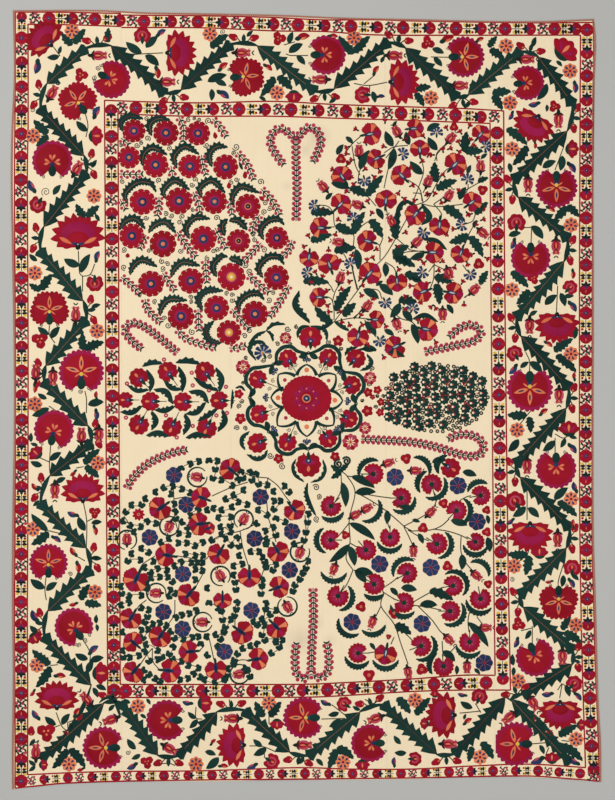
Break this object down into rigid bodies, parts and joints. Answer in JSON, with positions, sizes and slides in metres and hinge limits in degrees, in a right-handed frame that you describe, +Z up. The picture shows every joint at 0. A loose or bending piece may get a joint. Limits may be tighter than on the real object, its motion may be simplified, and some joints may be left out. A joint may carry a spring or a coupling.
{
  "type": "embroidered suzani cover",
  "caption": "Large flat cotton cover sewn from loom widths, with a narrow woven edging and dense silk embroidery: flowering bouquets round a star medallion inside a leaf-vine border.",
  "frame": {"origin": "on the floor under the middle of the cover's bounding box", "axes": "+X to the right of the pattern, +Y along the cover's length to its top end, +Z up out of the embroidered face"},
  "size_m": [1.794, 2.3688, 0.002],
  "materials": {
    "cotton_ground": "undyed hand-woven cotton, matte",
    "edging_tape": "narrow woven tape in red and cream"
  },
  "bodies": {
    "root": {"panel_far_left": "cotton_ground", "panel_left": "cotton_ground", "panel_middle": "cotton_ground", "panel_right": "cotton_ground", "panel_far_right": "cotton_ground", "edging_left": "edging_tape", "edging_right": "edging_tape", "edging_top": "edging_tape"}
  },
  "joints": []
}
